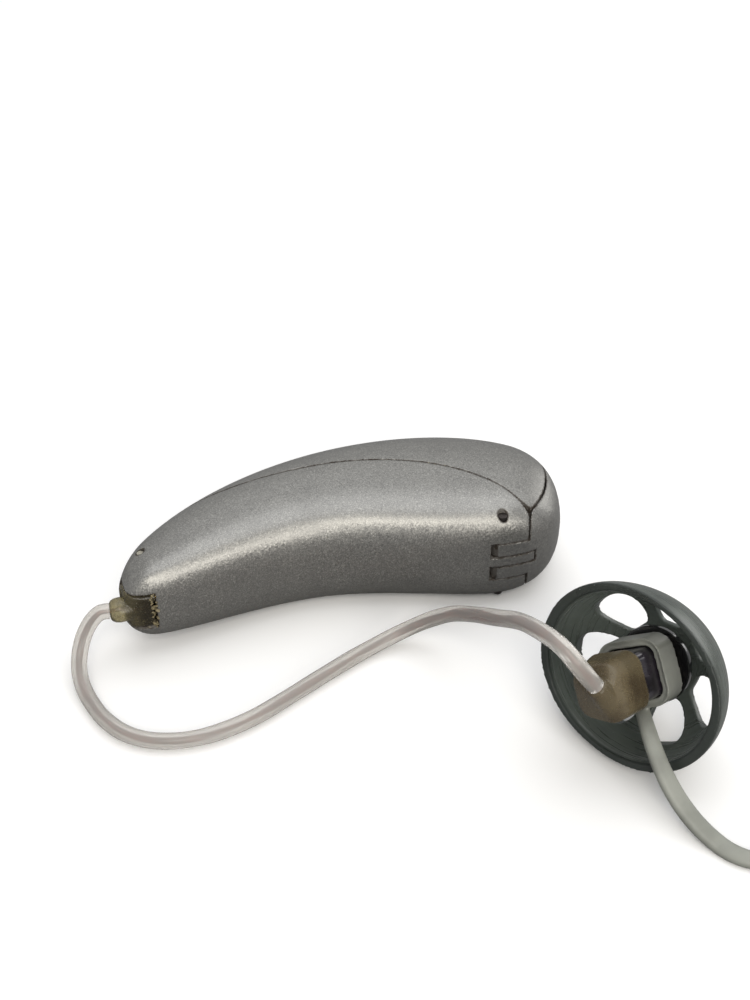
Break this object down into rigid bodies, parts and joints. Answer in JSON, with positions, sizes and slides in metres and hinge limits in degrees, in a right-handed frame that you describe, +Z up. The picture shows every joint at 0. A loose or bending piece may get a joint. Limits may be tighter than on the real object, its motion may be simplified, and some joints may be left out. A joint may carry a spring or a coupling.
{
  "type": "behind the ear hearing aid",
  "caption": "Curved behind-the-ear hearing aid case with a hinged battery door, a thin wire, and an in-canal receiver with a vented dome and retention tail, lying on its side.",
  "frame": {"origin": "on the surface the aid lies on, under the middle of the case's length", "axes": "+X along the case from the wire end to the battery door, +Y from the concave belly to the convex spine, +Z up through the width"},
  "size_m": [0.0411, 0.0348, 0.0105],
  "materials": {
    "case_paint": "satin",
    "dark_steel": "satin",
    "cell_steel": "polished",
    "gold_contact": "satin",
    "dark_plastic": "matte",
    "board_laminate": "satin",
    "chip_resin": "matte",
    "part_ceramic": "matte",
    "mic_metal": "satin",
    "screen_mesh": "matte",
    "coil_copper": "satin",
    "plug_resin": "gloss",
    "wire_tube": "gloss",
    "can_gloss": "gloss",
    "filter_white": "matte",
    "dome_silicone": "satin",
    "lock_moulding": "satin"
  },
  "bodies": {
    "case": {"lower_shell": "case_paint", "upper_shell": "case_paint", "hinge_pin": "dark_steel", "tip_pin": "dark_steel", "battery_contact_plus": "gold_contact", "battery_contact_minus": "gold_contact", "button_switch": "dark_plastic", "inner_frame": "dark_plastic", "circuit_board": "board_laminate", "signal_processor": "chip_resin", "board_components": "part_ceramic", "front_microphone": "mic_metal", "rear_microphone": "mic_metal", "front_port_screen": "screen_mesh", "rear_port_screen": "screen_mesh", "telecoil": "coil_copper", "plug_socket": "dark_plastic", "receiver_plug": "plug_resin", "plug_contacts": "gold_contact", "receiver_wire": "wire_tube", "receiver_boot": "plug_resin", "receiver_can": "can_gloss", "sound_spout": "can_gloss", "wax_filter": "filter_white", "dome_hub": "can_gloss", "dome": "dome_silicone", "retention_lock": "lock_moulding"},
    "door": {"battery_door": "case_paint", "battery_cell": "cell_steel"},
    "button": {"push_button": "case_paint"}
  },
  "joints": [
    {"name": "battery_door_hinge", "type": "hinge", "parent": "case", "child": "door", "pos_m": [0.00885, -0.00429, 0.0036], "axis": [0, 0, -1], "range_deg": [0, 60]},
    {"name": "push_button_press", "type": "slide", "parent": "case", "child": "button", "axis": [0.0497, -0.9988, 0], "range_m": [0, 0.0003], "stiffness_N_per_m": 400}
  ]
}
